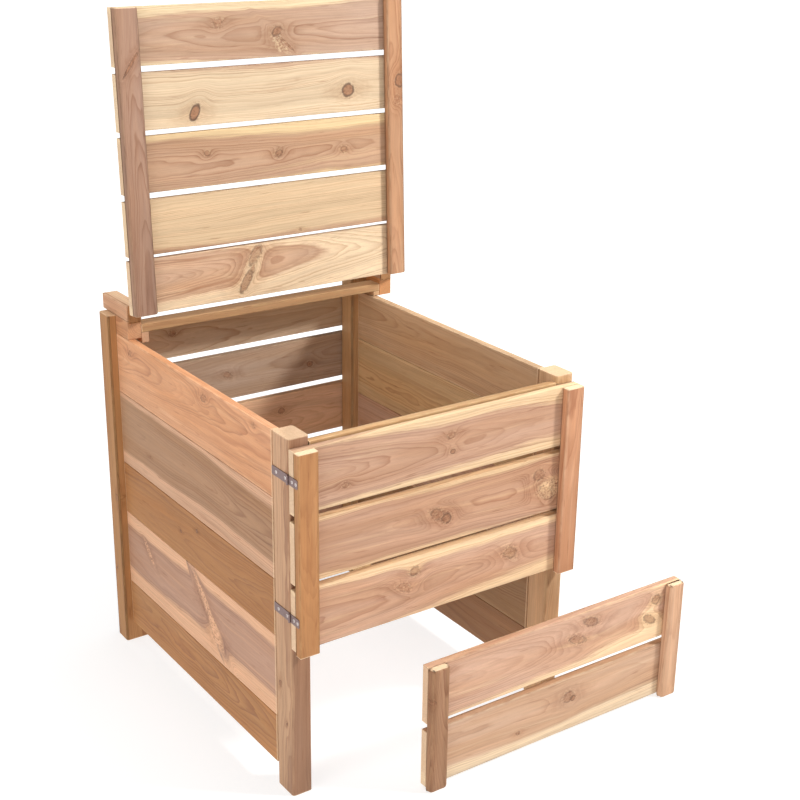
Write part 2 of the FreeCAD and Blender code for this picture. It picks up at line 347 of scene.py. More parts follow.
# %% [markdown]
# ## Rings, fibres and pores
# Each year's ring is pale early wood that ends in a thin dark line of late wood. A saw-tooth
# wave of the distance gives that: it climbs slowly and drops at once, and a power sharpens it
# into a line. Noise read along the rings makes some lines strong and others faint. Fibres and
# pores are noise stretched hard along the board.

# %% Cedar: the figure
RINGS_PER_METRE = 215.0
RING_UNEVENNESS = 6.0


def lay_out_figure(tree, radius, place, fibre_point):
    """Late-wood lines, broad bands, fibres and pores, each from 0 to about 1."""
    along_rings = join(tree, radius, place[0], c_in["Seed"])
    uneven = mottled(tree, along_rings, (48, 0.5, 3.1), 2.0, 0.5)
    phase = reckon(tree, "MULTIPLY_ADD", radius, RINGS_PER_METRE,
                   times(tree, uneven, RING_UNEVENNESS))
    saw = reckon(tree, "FRACT", phase)
    late = times(tree, reckon(tree, "POWER", saw, 2.6), flip(tree, soften(tree, saw, 0.88, 1.0)))
    strong = soften(tree, mottled(tree, along_rings, (62, 0.8, 5.3), 1.0, 0.5), 0.3, 0.75)
    late = times(tree, late, reckon(tree, "MULTIPLY_ADD", strong, 1.5, 0.30))
    bands = mottled(tree, along_rings, (60, 0.9, 1.7), 4.0, 0.65)
    fibres = mottled(tree, fibre_point, (5, 240, 240), 4.0, 0.7)
    pores = soften(tree, mottled(tree, fibre_point, (30, 1500, 1500), 2.0, 0.5), 0.58, 0.72)
    return late, bands, fibres, pores


print("rings every", round(1000 / RINGS_PER_METRE, 1), "mm or closer")

# %% [markdown]
# ## The colour of the wood
# Past a chosen distance from the pith the pinkish heartwood turns to cream sapwood, as on the
# bin's board edges. The heart itself drifts between a warmer and a pinker shade. Everything
# after that multiplies the colour, as real stain, late wood and pores darken it.

# %% Cedar: heart, sap and stains
WARMER, PINKER = (1.0, 0.93, 0.84, 1), (0.98, 1.0, 1.04, 1)
STAIN, LATE_WOOD = (0.66, 0.54, 0.48, 1), (0.60, 0.44, 0.35, 1)
FLECK, PORE = (0.58, 0.44, 0.36, 1), (0.55, 0.42, 0.34, 1)


def paint_wood(tree, radius, sway, fibre_point, figure):
    """Heart, sap and streaks, darkened by stains, rings, fibres, flecks and pores."""
    late, bands, fibres, pores = figure
    frayed = plus(tree, swing(tree, sway[2], 0.020), swing(tree, fibres, 0.012))
    past_heart = less(tree, plus(tree, radius, frayed), c_in["Heart reach"])
    sap = soften(tree, past_heart, -0.005, 0.006)
    blush = soften(tree, mottled(tree, fibre_point, (1.3, 13, 13), 3.0, 0.6), 0.3, 0.7)
    warm_heart = brighten(tree, shade(tree, c_in["Heart"], 1.0, WARMER), 0.96)
    pink_heart = brighten(tree, shade(tree, c_in["Heart"], 1.0, PINKER), 1.05)
    colour = stir(tree, sap, stir(tree, blush, warm_heart, pink_heart), c_in["Sap"])
    streak = soften(tree, mottled(tree, fibre_point, (0.9, 70, 70), 2.0, 0.5), 0.56, 0.72)
    colour = stir(tree, times(tree, streak, c_in["Streaks"]), colour, c_in["Sap"])
    stain = soften(tree, mottled(tree, fibre_point, (1.8, 40, 40), 4.0, 0.65), 0.56, 0.74)
    colour = shade(tree, colour, times(tree, stain, 0.50), STAIN)
    colour = brighten(tree, colour, plus(tree, 1.02, swing(tree, bands, 0.62)))
    colour = shade(tree, colour, times(tree, late, 0.60), LATE_WOOD)
    colour = brighten(tree, colour, plus(tree, 1.02, swing(tree, fibres, 0.42)))
    fleck = soften(tree, mottled(tree, fibre_point, (11, 130, 130), 2.0, 0.6), 0.64, 0.74)
    colour = shade(tree, colour, times(tree, fleck, 0.45), FLECK)
    return shade(tree, colour, times(tree, pores, 0.20), PORE)


print("tones that darken the wood: stain, late wood, fleck and pore")

# %% [markdown]
# ## Knots, worn edges and ends with painted light
# The knot's marks go on in the order they lie: halo first, then pale flecks, the core's own
# end grain, blotches, and the bark line on top. The long edges of a planed board are rubbed
# pale where it is handled. The sawn ends are mixed towards a pale cream, which is painted
# light: it stands in for the light from above that makes the top ends look bright.

# %% Cedar: knots and wear
HALO, BLOTCH, HANDLED = (0.66, 0.52, 0.43, 1), (0.50, 0.37, 0.30, 1), (0.72, 0.66, 0.60, 1)
BARK = tint(70, 44, 33)


def paint_knots(tree, colour, fibres):
    """Lays every knot's marks over the wood."""
    colour = shade(tree, colour, times(tree, c_in["Halo"], 0.45), HALO)
    pale_fleck = brighten(tree, c_in["Sap"], 1.20)
    colour = stir(tree, times(tree, c_in["Glow"], 0.72), colour, pale_fleck)
    knot_wood = stir(tree, fibres, tint(112, 70, 46), tint(178, 124, 88))
    colour = stir(tree, times(tree, c_in["Core"], 0.85), colour, knot_wood)
    colour = shade(tree, colour, times(tree, c_in["Blotch"], 0.50), BLOTCH)
    return stir(tree, times(tree, c_in["Bark"], 0.78), colour, BARK)


def paint_wear(tree, colour, place, own, fibres, patchy):
    """Pale worn arrises, painted light on the sawn ends and handling marks; also where the
    arrises and ends are.
    """
    from_end, from_side, from_face = [
        less(tree, c_in[half], reckon(tree, "ABSOLUTE", place[axis]))
        for axis, half in enumerate(("Half length", "Half width", "Half thick"))]
    from_edge = reckon(tree, "MAXIMUM", from_side, from_face)
    arris = flip(tree, soften(tree, from_edge, 0.0012, 0.0062))
    worn = times(tree, arris, soften(tree, patchy, 0.35, 0.65))
    colour = stir(tree, times(tree, worn, 0.40), colour, brighten(tree, c_in["Sap"], 1.03))
    cut_end = flip(tree, soften(tree, from_end, 0.0012, 0.0034))
    # The sawn ends are mixed towards a pale cream: painted light, standing in for the light from
    # above on the top ends.
    painted_end_light = stir(tree, fibres, tint(222, 182, 140), tint(252, 230, 196))
    colour = stir(tree, times(tree, cut_end, c_in["End light"]), colour, painted_end_light)
    handled = soften(tree, mottled(tree, own, (5, 9, 9), 4.0, 0.65), 0.52, 0.78)
    return shade(tree, colour, times(tree, handled, 0.22), HANDLED), worn, cut_end


print("bark line colour:", [round(c, 3) for c in BARK])

# %% [markdown]
# ## Roughness and relief
# Planed cedar is dull, a little smoother on the dense late wood and the knots, and roughest on
# the end grain. The same rings and fibres lift the surface, while pores and bark lines sink.

# %% Cedar: roughness, relief and the finished group
def set_roughness(tree, late, fibres, patchy, cut_end):
    """Dull wood, smoother where it is dense, rougher at the sawn ends."""
    rough = plus(tree, 0.66, plus(tree, swing(tree, fibres, 0.20), swing(tree, patchy, 0.12)))
    dense = reckon(tree, "MAXIMUM", late, c_in["Core"])
    rough = less(tree, rough, times(tree, dense, 0.12))
    feed(tree, c_out["Roughness"], plus(tree, rough, times(tree, cut_end, 0.12)))


def set_relief(tree, late, fibres, pores, patchy, worn):
    """Height of the surface, for the bump."""
    relief = plus(tree, times(tree, late, 0.45), times(tree, fibres, 0.60))
    relief = less(tree, relief, times(tree, pores, 0.30))
    relief = plus(tree, relief, times(tree, c_in["Core"], 0.35))
    relief = less(tree, relief, times(tree, c_in["Bark"], 0.90))
    relief = plus(tree, relief, times(tree, swing(tree, patchy, 0.5), worn))
    feed(tree, c_out["Relief"], relief)


def lay_out_cedar(tree):
    """Colour, roughness and relief of the board."""
    place, own, sway, radius, fibre_point = lay_out_rings(tree)
    figure = lay_out_figure(tree, radius, place, fibre_point)
    late, _, fibres, pores = figure
    patchy = mottled(tree, own, (26, 60, 60), 3.0, 0.6)
    colour = paint_wood(tree, radius, sway, fibre_point, figure)
    colour = paint_knots(tree, colour, fibres)
    colour, worn, cut_end = paint_wear(tree, colour, place, own, fibres, patchy)
    feed(tree, c_out["Colour"], colour)
    set_roughness(tree, late, fibres, patchy, cut_end)
    set_relief(tree, late, fibres, pores, patchy, worn)


lay_out_cedar(cedar_group)
print("cedar group:", len(cedar_group.nodes), "nodes")

# %% [markdown]
# ## One recipe for each board
# No two boards in the bin are alike: some are pinkish heart with cream edges, some nearly all
# cream with dark knots, some plain amber. A recipe holds the heart and sap colours, where the
# pith runs beside the board (across and through, in millimetres), how fast it drifts along
# the board, how far out the heart reaches, the share of light streaks, and the knots as
# (along, across, radius, firmness, lean), with a stretch after them where a knot is drawn out.

# %% Looks: heart and sap colours
looks = {
    "blush": (tint(196, 152, 128), tint(234, 196, 158)),
    "mauve": (tint(180, 139, 116), tint(220, 172, 138)),
    "amber": (tint(196, 143, 104), tint(226, 182, 142)),
    "cream": (tint(208, 166, 134), tint(236, 204, 166)),
    "tan": (tint(200, 158, 126), tint(230, 194, 154)),
    "umber": (tint(172, 130, 102), tint(214, 170, 134)),
    "shade": (tint(190, 156, 130), tint(224, 190, 156)),
    "honey": (tint(200, 158, 116), tint(230, 194, 150)),
    "beam": (tint(186, 142, 110), tint(232, 198, 162)),
    "olive": (tint(178, 138, 107), tint(216, 172, 142)),
}
print("looks:", ", ".join(looks))

# %% [markdown]
# ## A tone for each board
# Boards sawn from different trees never quite agree, so each board's own tone multiplies its
# look's red, green and blue. Most of these numbers were fitted, board by board, until the
# board's average colour came out as in the reference picture, and a few were given one by one.

# %% Own tones, partly painted light and shade
# Besides the real differences between trees, these tones carry painted light and shade: a board
# that lay in shade is darkened and a lit one is lightened.
tone_and_shade = {
    "front_left_post": (0.8, 0.8, 0.79),
    "front_right_post": (1, 1.1, 1.02),
    "rear_left_post": (0.77, 0.65, 0.42),
    "rear_right_post": (0.95, 1, 0.95),
    "left_side_board_1": (1.17, 1.2, 1.25),
    "left_side_board_2": (0.92, 0.91, 0.86),
    "left_side_board_3": (0.76, 0.71, 0.53),
    "left_side_board_4": (1.04, 1.05, 1.02),
    "left_side_board_5": (0.89, 0.87, 0.69),
    "right_side_board_1": (0.91, 1.02, 1.15),
    "right_side_board_2": (0.98, 1.15, 1.19),
    "right_side_board_4": (0.53, 0.53, 0.5),
    "right_side_board_5": (0.63, 0.59, 0.4),
    "rear_board_1": (1.09, 1.27, 1.29),
    "rear_board_2": (0.84, 0.96, 1.04),
    "rear_board_3": (1.37, 1.39, 1.32),
    "rear_board_4": (0.95, 1, 1),
    "rear_board_5": (0.95, 1, 1),
    # Lightened as painted light on the beam's lit top.
    "left_hinge_beam": (1.22, 1.22, 1.22),
    # Darkened as painted shade from the open lid above the rail.
    "rear_cross_rail": (0.82, 0.82, 0.67),
    "front_top_rail": (0.95, 1.19, 1.18),
    "right_hinge_block": (0.98, 0.72, 0.5),
    "lid_board_1": (0.8, 0.93, 0.94),
    "lid_board_2": (0.74, 0.79, 0.83),
    "lid_board_3": (0.85, 0.93, 0.84),
    "lid_board_4": (0.77, 0.78, 0.76),
    "lid_board_5": (0.93, 1, 1.05),
    "lid_left_batten": (0.77, 0.82, 0.83),
    "lid_right_batten": (0.88, 0.97, 1.06),
    "door_board_1": (0.91, 0.97, 0.94),
    "door_board_2": (0.93, 0.96, 0.9),
    "door_board_3": (1.05, 1.12, 1.09),
    "door_left_batten": (0.81, 0.77, 0.6),
    "door_right_batten": (0.98, 0.98, 1.05),
    "lower_board_1": (1.08, 1.16, 1.14),
    "lower_board_2": (0.92, 0.98, 1.04),
    "lower_left_batten": (0.9, 0.89, 0.81),
    "lower_right_batten": (1.1, 1.1, 1.1),
}
print("boards with a tone of their own:", len(tone_and_shade))

# %% [markdown]
# ## Knots on one board
# The knot group is made once and shared, and a board adds one for each of its knots. Where it
# has several, their pushes add up, and of their marks the strongest wins.

# %% Knots of one board
def new_finish(name):
    """A material with an empty node tree."""
    finish = bpy.data.materials.new(name)
    finish.use_nodes = True
    finish.node_tree.nodes.clear()
    return finish, finish.node_tree


def add_knots(tree, board, knots):
    """One group for each knot, with their outputs joined by name."""
    totals = {}
    for along, across, radius, firm, lean, *stretch in knots:
        knot = add_node(tree, "Group", {"node_tree": knot_group},
                        {"Point": board, "Along": along * MM, "Across": across * MM,
                         "Radius": radius * MM, "Firm": firm, "Lean": lean,
                         "Stretch": stretch[0] if stretch else 1.3 - 0.35 * firm})
        for socket in knot.outputs:
            together = "ADD" if socket.name in ("Push", "Spread") else "MAXIMUM"
            if socket.name in totals:
                totals[socket.name] = reckon(tree, together, totals[socket.name], socket)
            else:
                totals[socket.name] = socket
    return totals


print("knot marks:", ", ".join(socket.name for socket in k_out if socket.name))

# %% [markdown]
# ## The finish of one board
# A board's own material only says where the board lies and what its recipe holds. A Mapping
# node turns object coordinates into along, across and through, measured from the board's
# middle, so that a batten and a board can use one group.

# %% Finish for one board
SEED_STEP = 0.618
finish_count = 0


def cedar_finish(name, axes, centre, half, recipe, end_light=0.6):
    """Material for one board: axes are its along, across and through directions."""
    global finish_count
    finish_count += 1
    look, pith, drift, reach, streaks, knots = recipe
    tone = (*tone_and_shade.get(name, (1, 1, 1)), 1)
    heart, sap = ([c * k for c, k in zip(colour, tone)] for colour in looks[look])
    finish, tree = new_finish("cedar_" + name)
    turn = Matrix(axes).transposed().to_euler("XYZ")
    where = add_node(tree, "TexCoord").outputs["Object"]
    board = add_node(tree, "Mapping", {"vector_type": "TEXTURE"},
                     {"Vector": where, "Location": centre, "Rotation": turn}).outputs[0]
    marks = add_knots(tree, board, knots)
    wood = add_node(tree, "Group", {"node_tree": cedar_group},
                    {"Point": board, "Seed": finish_count * SEED_STEP,
                     "Pith across": pith[0] * MM, "Pith depth": pith[1] * MM, "Drift": drift,
                     "Heart reach": reach * MM, "Heart": heart, "Sap": sap, "Streaks": streaks,
                     "Half length": half[0], "Half width": half[1], "Half thick": half[2],
                     "End light": end_light, **marks})
    relief = add_node(tree, "Bump", None, {"Strength": 0.55, "Distance": 0.0007,
                                           "Height": wood.outputs["Relief"]})
    surface = add_node(tree, "BsdfPrincipled", None,
                       {"Base Color": wood.outputs["Colour"],
                        "Roughness": wood.outputs["Roughness"], "Specular IOR Level": 0.32,
                        "Normal": relief.outputs[0]})
    add_node(tree, "OutputMaterial", None, {0: surface.outputs[0]})
    return finish


print("seed steps by", SEED_STEP, "from board to board")

# %% [markdown]
# ## Where a timber lies
# A measured piece already stands in its place, so its box gives the size of the timber that
# replaces it. The lid stands open and is a little out of square with the world, so its pieces
# are turned back to the shut place before they are measured, and turned again when made.

# %% Places, sizes and directions
lid_axis = Vector((0.0, 0.71185, 0.87915))
LID_OPENING = 92.6
lid_opening = math.radians(LID_OPENING)
opened = (Matrix.Translation(lid_axis) @ Matrix.Rotation(-lid_opening, 4, "X")
          @ Matrix.Translation(-lid_axis))
upright = Matrix.Identity(4)
UNIT = (Vector((1, 0, 0)), Vector((0, 1, 0)), Vector((0, 0, 1)))


def straight_box(node, place):
    """Lowest and highest corner of a piece once its tilt is undone."""
    back = place.inverted()
    points = [back @ v.co for v in nodes[node].data.vertices]
    low = Vector([min(p[i] for p in points) for i in range(3)])
    high = Vector([max(p[i] for p in points) for i in range(3)])
    return low, high


def board_axes(size, grain, wide=None):
    """Along, across and through directions of a board."""
    others = [i for i in range(3) if i != grain]
    if wide is None:
        wide = max(others, key=lambda i: size[i])
    along, across = UNIT[grain], UNIT[wide]
    return along, across, along.cross(across)


print("the lid stands open by", LID_OPENING, "degrees")

# %% [markdown]
# ## Planing a timber
# Planing leaves rounded long edges and faces that look flat but never are. So there is one
# tool that rounds edges, one that finds the edges along the grain, and one that pushes the
# faces in by a few tenths of a millimetre, so that no edge is a ruler-straight line.

# %% Planing tools
PLAY = 0.15 * MM
INNER_ARRIS = 1.5 * MM
ROUND_ARRIS = 3.0 * MM
UNEVENNESS = 0.35 * MM
CUT_EVERY = 30 * MM
WAVES_PER_METRE, NICKS_PER_METRE = 9.0, 55.0
HAIR = 1e-6


def round_edges(bm, edges, width, segments):
    """Bevels edges by a width."""
    bmesh.ops.bevel(bm, geom=edges, offset=width, offset_type="OFFSET", segments=segments,
                    profile=0.5, affect="EDGES", material=-1)


def edges_along(bm, axis, longer_than):
    """Edges that run along one axis."""
    found = []
    for edge in bm.edges:
        run = edge.verts[1].co - edge.verts[0].co
        if run.length > longer_than and abs(run[axis]) > 0.99 * run.length:
            found.append(edge)
    return found


def roughen(bm, inner, seed):
    """Pushes the faces in unevenly, and never out past the planed size."""
    bm.normal_update()
    offset = Vector((seed * 3.7, seed * 1.9, seed * 5.3))
    for vert in bm.verts:
        wave = 0.5 + 0.5 * noise.noise(vert.co * WAVES_PER_METRE + offset)
        nick = max(0.0, noise.noise(vert.co * NICKS_PER_METRE + offset) - 0.25)
        vert.co -= vert.normal * (UNEVENNESS * (wave + 1.2 * nick))
        for i in range(3):
            vert.co[i] = max(-inner[i] / 2, min(inner[i] / 2, vert.co[i]))


print("faces lie", PLAY * 1000, "mm inside the measured box, and the slow waves go",
      round(UNEVENNESS * 1000, 2), "mm deeper")

# %% [markdown]
# ## One timber
# Every timber starts as a cube stretched to its measured size, a little smaller all round. The
# long edges are bevelled first, then the ends are eased, and cuts along the length give the
# faces enough points to be pushed in. Battens are rounder on the side that shows, and keep a
# nearly sharp edge against the boards.

# %% A planed timber
def plane_timber(size, grain, arris, ease, seed, outer=None):
    """Mesh of one planed timber, centred, a little smaller than its size all round.

    outer is the axis that faces outward and its sign: only edges on that side get the arris.
    """
    bm = bmesh.new()
    bmesh.ops.create_cube(bm, size=1.0)
    inner = Vector([s - 2 * PLAY for s in size])
    bmesh.ops.scale(bm, vec=inner, verts=bm.verts)
    half = inner[grain] / 2
    long_edges = edges_along(bm, grain, half)
    if outer:
        axis, sign = outer
        inside = [e for e in long_edges if e.verts[0].co[axis] * sign < 0]
        round_edges(bm, inside, INNER_ARRIS, 2)
        long_edges = [e for e in edges_along(bm, grain, half)
                      if all(abs(e.verts[0].co[i]) > inner[i] / 2 - HAIR for i in range(3))]
    round_edges(bm, long_edges, arris, 4 if arris > ROUND_ARRIS else 3)
    ends = [e for e in bm.edges if all(abs(v.co[grain]) > half - HAIR for v in e.verts)]
    round_edges(bm, ends, ease, 3)
    cuts = max(6, int(size[grain] / CUT_EVERY))
    bmesh.ops.subdivide_edges(bm, edges=edges_along(bm, grain, half), cuts=cuts,
                              use_grid_fill=True)
    roughen(bm, inner, seed)
    mesh = bpy.data.meshes.new("timber")
    bm.to_mesh(mesh)
    bm.free()
    return mesh


print("a cut every", CUT_EVERY * 1000, "mm along the grain")

# %% [markdown]
# ## From mesh to piece
# A piece is a mesh that rides on its moving part. Making a timber is then four steps: measure
# the piece it stands for, plane the mesh, move it to its place, and give it its finish. A
# weighted normal keeps the wide faces flat in the light while the arrises look round.

# %% Putting a timber in the scene
def show(mesh, name, body, finish):
    """Puts a mesh in the scene as a piece that rides on its body."""
    mesh.name = name
    mesh.materials.clear()
    mesh.materials.append(finish)
    mesh.shade_smooth()
    piece = bpy.data.objects.new(name, mesh)
    bpy.context.scene.collection.objects.link(piece)
    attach(piece, body)
    return piece


def even_shading(piece):
    """Lets the big flat faces rule the shading, so that only the arrises look round."""
    weighted = piece.modifiers.new("even_shading", "WEIGHTED_NORMAL")
    weighted.weight = 80
    weighted.keep_sharp = True


def make_timber(node, grain, arris, recipe, place=upright, wide=None, ease=1.2, end_light=0.6,
                outer=None):
    """Planed cedar piece that stands for one measured piece; arris and ease in millimetres."""
    low, high = straight_box(node, place)
    size = high - low
    middle = (low + high) / 2
    mesh = plane_timber(size, grain, arris * MM, ease * MM, finish_count, outer)
    mesh.transform(place @ Matrix.Translation(middle))
    axes = board_axes(size, grain, wide)
    half = [abs(size.dot(axis)) / 2 for axis in axes]
    turned = [place.to_3x3() @ axis for axis in axes]
    finish = cedar_finish(node, turned, place @ middle, half, recipe, end_light)
    piece = show(mesh, node + "_cedar", nodes[node]["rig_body"], finish)
    even_shading(piece)
    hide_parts(node)


print("timber tools ready")

# %% [markdown]
# ## Corner posts
# The four posts carry everything. They are the thickest timbers, with softly rounded arrises,
# and stand on the ground on their own end grain. Sawn from near the outside of the tree they
# are tan with fine straight lines. In front of each recipe stand the axis that the grain
# follows (0 is x, 1 is y, 2 is z) and the width of the arris in millimetres. After it stands
# the axis that counts as across, where it isn't simply the wider one.

# %% Posts
post_recipes = {
    "front_left_post": (2, 7.0, ("umber", (-22, -34), 0.01, 56, 0.15,
        [(-158, 14, 6, 0.4, 0.3), (-246, -11, 3.2, 1.0, 0.6)]), 1),
    "front_right_post": (2, 7.0, ("tan", (-75, 30), 0.03, 190, 0.30, []), 1),
    "rear_left_post": (2, 4.9, ("tan", (55, -50), 0.02, 180, 0.22,
        [(-36, -16, 8, 0.2, 0.2), (-244, 12, 3.4, 1.0, 0.6)]), 1),
    "rear_right_post": (2, 4.9, ("honey", (40, 60), -0.02, 160, 0.25,
        [(190, 12, 6, 0.4, 0)]), None),
}
# The posts' top ends get half of the painted end light.
for node, (grain, arris, recipe, wide) in post_recipes.items():
    make_timber(node, grain, arris, recipe, wide=wide, end_light=0.5)
print("posts:", len(post_recipes))

# %% [markdown]
# ## Pieces that keep their measured mesh
# Some pieces have a shape that is already exact: the side boards with their tongues and
# grooves, and the hinges. They only need a finish and softer edges. A Weld joins their loose
# triangles, and a small Bevel rounds what is sharp.

# %% Tools for kept pieces
WELD_GAP = 0.01 * MM
SHARP_FROM = 28


def soften_edges(node, width):
    """Modifiers that join a measured piece's triangles and round its sharp edges."""
    weld = nodes[node].modifiers.new("joined", "WELD")
    weld.merge_threshold = WELD_GAP
    rounding = nodes[node].modifiers.new("softened", "BEVEL")
    rounding.width = width
    rounding.segments = 2
    rounding.limit_method = "ANGLE"
    rounding.angle_limit = math.radians(SHARP_FROM)
    rounding.harden_normals = False
    nodes[node].data.shade_smooth()
    even_shading(nodes[node])


def give_finish(node, finish):
    """Replaces the plain material of a measured piece."""
    nodes[node].data.materials.clear()
    nodes[node].data.materials.append(finish)


print("edges sharper than", SHARP_FROM, "degrees are rounded")

# %% [markdown]
# ## Side boards
# The side walls are close-boarded: each board has a tongue on its top edge that fits a groove
# in the board above, so the wall is tight and no compost falls through. The measured boards
# are kept, their visible joints are softened, and each board gets its own cedar.

# %% Side boards
BOARD_ROUNDING = 0.9 * MM
side_recipes = {
    "left_side_board_1": ("amber", (30, 60), 0.05, 220, 0.30,
        [(300, 44, 7, 0.2, 0.4), (-77, 48, 9, 0.25, 0.5), (-300, 58, 6, 0.1, 0.3)]),
    "left_side_board_2": ("olive", (8, 38), 0.02, 86, 0.12, [(217, -29, 4, 0.3, 0)]),
    "left_side_board_3": ("amber", (-20, 70), -0.03, 220, 0.10,
        [(64, -3, 3.5, 0.8, 0), (-20, 31, 4.5, 0.9, 0.2)]),
    "left_side_board_4": ("mauve", (4, 38), -0.02, 80, 0.25,
        [(-66, 8, 54, -0.4, -0.92, 0.19), (-96, -38, 22, -0.4, -0.3, 0.8),
         (-44, 2, 40, 0.1, -0.92, 0.08), (250, 30, 18, -0.3, -0.9, 0.4)]),
    "left_side_board_5": ("amber", (10, 90), 0.02, 260, 0.10, []),
    "right_side_board_1": ("honey", (20, 50), 0.03, 200, 0.15, []),
    "right_side_board_2": ("honey", (-15, 45), 0.02, 200, 0.15, [(-120, 20, 6, 0.4, 0)]),
    "right_side_board_3": ("shade", (0, 50), -0.02, 125, 0.15, [(60, -30, 8, 0.3, 0)]),
    "right_side_board_4": ("honey", (20, 60), 0.03, 150, 0.2, [(-190, 30, 7, 0.5, 0)]),
    "right_side_board_5": ("mauve", (-10, 70), 0.02, 160, 0.1, []),
}
for node, recipe in side_recipes.items():
    low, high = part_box(node)
    axes = board_axes(high - low, 1)
    half = [abs((high - low).dot(axis)) / 2 for axis in axes]
    give_finish(node, cedar_finish(node, axes, (low + high) / 2, half, recipe))
    soften_edges(node, BOARD_ROUNDING)
print("side boards:", len(side_recipes))

# %% [markdown]
# ## Rear wall and the timbers at the top of the back
# Six boards run across the back with air gaps between them, since compost has to breathe.
# Above them sit the hinge blocks, the beams that the lid hangs on, and a cross rail held by a
# cleat at each end. At the front one rail ties the posts together behind the door. The short
# timbers that point forward get only a little painted light on their sawn ends, which face
# forward, and the others get more.

# %% Rear boards, blocks, beams, cleats and rails
frame_recipes = {
    "rear_board_1": (0, 1.6, ("shade", (-10, -60), 0.04, 150, 0.15, [(-190, 10, 7, 0.3, 0)])),
    "rear_board_2": (0, 1.6, ("shade", (12, 55), 0.05, 125, 0.15,
        [(-40, 5, 9, 0.2, 0.4), (210, -10, 8, 0.5, 0)])),
    "rear_board_3": (0, 1.6, ("shade", (-20, 60), -0.04, 140, 0.20, [(120, 20, 8, 0.4, 0)])),
    "rear_board_4": (0, 1.6, ("blush", (10, -45), 0.03, 95, 0.20, [(-230, -12, 10, 0.7, 0)])),
    "rear_board_5": (0, 1.6, ("mauve", (0, 50), 0.04, 105, 0.15, [(30, 15, 7, 0.4, 0)])),
    "rear_board_6": (0, 1.6, ("amber", (15, -70), 0.02, 160, 0.10, [])),
    "rear_cross_rail": (0, 1.6, ("tan", (20, 50), 0.02, 120, 0.20, [])),
    "front_top_rail": (0, 1.6, ("amber", (-10, 40), 0.03, 90, 0.30, [(60, 4, 5, 0.5, 0)])),
    "left_hinge_block": (1, 1.6, ("amber", (30, 30), 0.05, 120, 0.20, [])),
    "right_hinge_block": (1, 1.6, ("honey", (-30, 30), 0.05, 120, 0.20, [])),
    "left_hinge_beam": (1, 1.8, ("beam", (-34, 30), 0.01, 50, 0.20, [])),
    "right_hinge_beam": (1, 1.8, ("beam", (-34, 30), 0.01, 50, 0.25, [])),
    "left_rail_cleat": (1, 1.2, ("tan", (20, 20), 0.02, 120, 0.20, [])),
    "right_rail_cleat": (1, 1.2, ("honey", (20, 20), 0.02, 120, 0.20, [])),
}
# Timbers whose sawn ends face forward get little painted end light.
POINTS_FORWARD = 1
for node, (grain, arris, recipe) in frame_recipes.items():
    make_timber(node, grain, arris, recipe, end_light=0.12 if grain == POINTS_FORWARD else 0.6)
print("rear and top timbers:", len(frame_recipes))

# %% [markdown]
# ## Lid
# Five boards on two battens, seen from inside because the lid stands open. It is built in its
# shut place, where every edge is square to the bin, and then turned about the hinge pins by
# the same angle as the measured lid. The second board from the top is nearly all cream
# sapwood with two dark round knots, the first thing one sees on the real lid. The battens' ends
# are well rounded, where the lid is taken hold of.

# %% Lid boards and battens
lid_recipes = {
    "lid_board_1": (0, 1.6, ("blush", (6, 30), 0.03, 72, 0.20,
        [(-120, -20, 9, 0.15, 0.2), (35, 6, 11, 0.5, 0.4), (58, 34, 20, 0.35, -1.1, 0.22),
         (44, 36, 16, -0.2, -0.6, 0.7)])),
    "lid_board_2": (0, 1.6, ("cream", (-122, 14), 0.02, 66, 0.05,
        [(-192, 34, 18, 1.0, 0.35, 0.66), (230, 12, 16, 0.9, 0.1, 1.0)])),
    "lid_board_3": (0, 1.6, ("blush", (9, 28), -0.02, 66, 0.18,
        [(-166, -12, 6, 0.25, 0), (27, 6, 8, 0.3, 0.2), (214, 14, 8, 0.3, 0)])),
    "lid_board_4": (0, 1.6, ("cream", (124, 20), 0.03, 70, 0.05, [(79, 55, 4, 0.1, 0)])),
    "lid_board_5": (0, 1.6, ("cream", (-14, 34), -0.09, 58, 0.25,
        [(-50, -38, 24, 0.35, 0.5, 0.62), (-78, 24, 27, 0.5, 0.5, 0.45),
         (-62, 4, 20, 0.2, 0.4, 0.3)])),
    "lid_left_batten": (1, 6.0, ("mauve", (18, 40), 0.04, 120, 0.12,
        [(-228, 4, 20, 0.55, 1.35, 0.32)])),
    "lid_right_batten": (1, 6.0, ("amber", (-12, 45), 0.03, 120, 0.25,
        [(-145, 12, 14, 0.7, 0, 1.1), (-100, 4, 8, 0.1, 0)])),
}
BELOW, IN_FRONT = (2, -1), (1, -1)
for node, (grain, arris, recipe) in lid_recipes.items():
    is_batten = "batten" in node
    make_timber(node, grain, arris, recipe, place=opened, ease=4.0 if is_batten else 1.2,
                outer=BELOW if is_batten else None)
print("lid timbers:", len(lid_recipes))

# %% [markdown]
# ## Door and lower panel
# Both are made like the lid, with the battens on the outside, so from the front one sees two
# upright battens standing proud of the boards. The lower panel has been lifted off its place
# and stands on the ground, as when the bin is being emptied. Its battens are the roundest.

